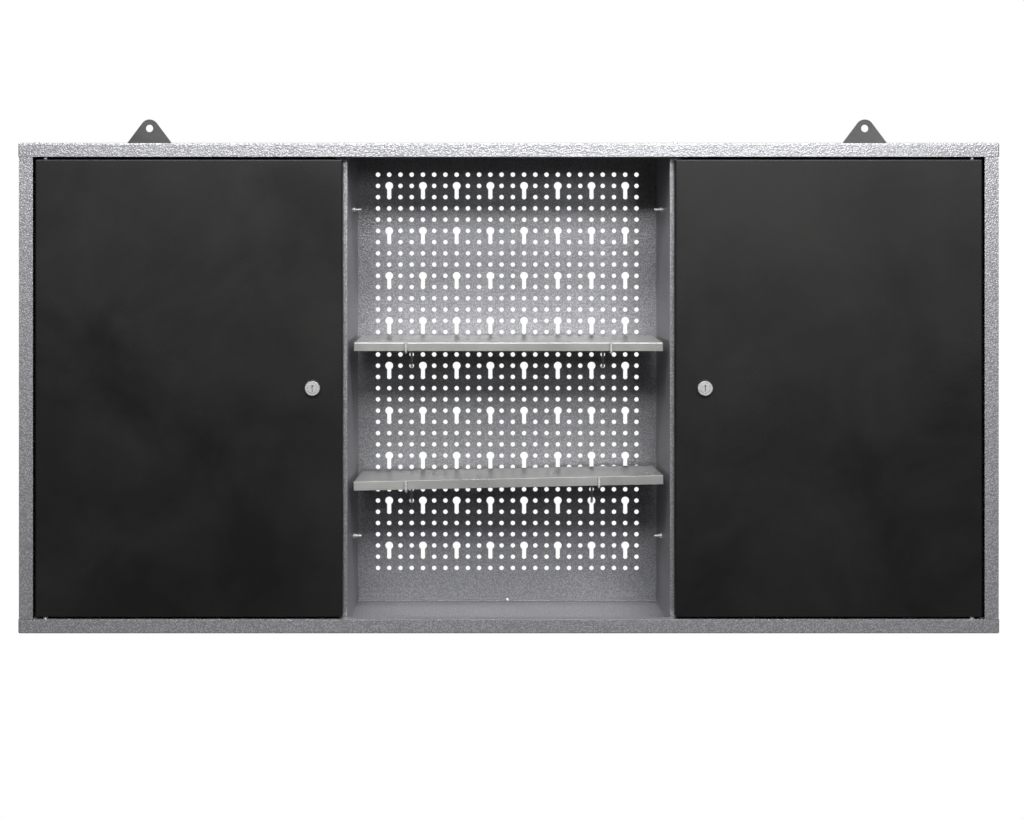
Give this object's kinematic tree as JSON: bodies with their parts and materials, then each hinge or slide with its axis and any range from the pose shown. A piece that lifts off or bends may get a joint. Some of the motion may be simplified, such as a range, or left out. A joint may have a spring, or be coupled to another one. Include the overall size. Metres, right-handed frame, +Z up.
{
  "type": "hanging wall cabinet",
  "caption": "Wall-hung sheet-steel cabinet: a locking hinged door on either side of an open bay with a pegboard back and shelves carried on wire hooks.",
  "frame": {"origin": "midway between the two hanging holes, on the wall plane", "axes": "+X to the right seen from the front, +Y into the wall, +Z up; the cabinet stands out of the wall towards -Y"},
  "size_m": [1.2, 0.2053, 0.6442],
  "materials": {
    "hammertone": "hammertone gloss",
    "black_paint": "fine texture, satin",
    "shelf_paint": "satin",
    "lug_paint": "satin",
    "zinc": "zinc plated",
    "chrome": "polished",
    "black_plastic": "satin"
  },
  "bodies": {
    "carcass": {"top_panel": "hammertone", "top_front_rail": "hammertone", "top_rear_flange": "hammertone", "top_end_flanges": "hammertone", "bottom_panel": "hammertone", "bottom_front_rail": "hammertone", "bottom_rear_flange": "hammertone", "bottom_end_flanges": "hammertone", "left_side_panel": "hammertone", "right_side_panel": "hammertone", "left_side_lips": "hammertone", "right_side_lips": "hammertone", "left_divider": "hammertone", "right_divider": "hammertone", "left_divider_lips": "hammertone", "right_divider_lips": "hammertone", "left_back_panel": "hammertone", "right_back_panel": "hammertone", "pegboard_panel": "hammertone", "pegboard_rail": "hammertone", "pegboard_rail_screw": "zinc", "left_hanging_lug": "lug_paint", "right_hanging_lug": "lug_paint", "lug_screws": "zinc", "lug_nuts": "zinc", "top_screws": "zinc", "bottom_screws": "zinc", "left_divider_studs": "zinc", "right_divider_studs": "zinc", "upper_shelf": "shelf_paint", "lower_shelf": "shelf_paint", "upper_left_hook": "zinc", "upper_right_hook": "zinc", "lower_left_hook": "zinc", "lower_right_hook": "zinc"},
    "left_door": {"left_door": "black_paint", "left_door_pins": "zinc", "left_lock_bezel": "black_plastic", "left_lock_housing": "chrome", "left_lock_nut": "zinc"},
    "right_door": {"right_door": "black_paint", "right_door_pins": "zinc", "right_lock_bezel": "black_plastic", "right_lock_housing": "chrome", "right_lock_nut": "zinc"},
    "left_lock": {"left_lock_plug": "chrome", "left_lock_cam": "zinc", "left_lock_cam_screw": "zinc"},
    "right_lock": {"right_lock_plug": "chrome", "right_lock_cam": "zinc", "right_lock_cam_screw": "zinc"}
  },
  "joints": [
    {"name": "left_door_swing", "type": "hinge", "parent": "carcass", "child": "left_door", "pos_m": [-0.568, -0.1955, -0.33], "axis": [0, 0, -1], "range_deg": [0, 115]},
    {"name": "right_door_swing", "type": "hinge", "parent": "carcass", "child": "right_door", "pos_m": [0.568, -0.1955, -0.33], "axis": [0, 0, 1], "range_deg": [0, 115]},
    {"name": "left_lock_turn", "type": "hinge", "parent": "left_door", "child": "left_lock", "pos_m": [-0.24, -0.1805, -0.33], "axis": [0, -1, 0], "range_deg": [0, 90]},
    {"name": "right_lock_turn", "type": "hinge", "parent": "right_door", "child": "right_lock", "pos_m": [0.24, -0.1805, -0.33], "axis": [0, 1, 0], "range_deg": [0, 90]}
  ]
}
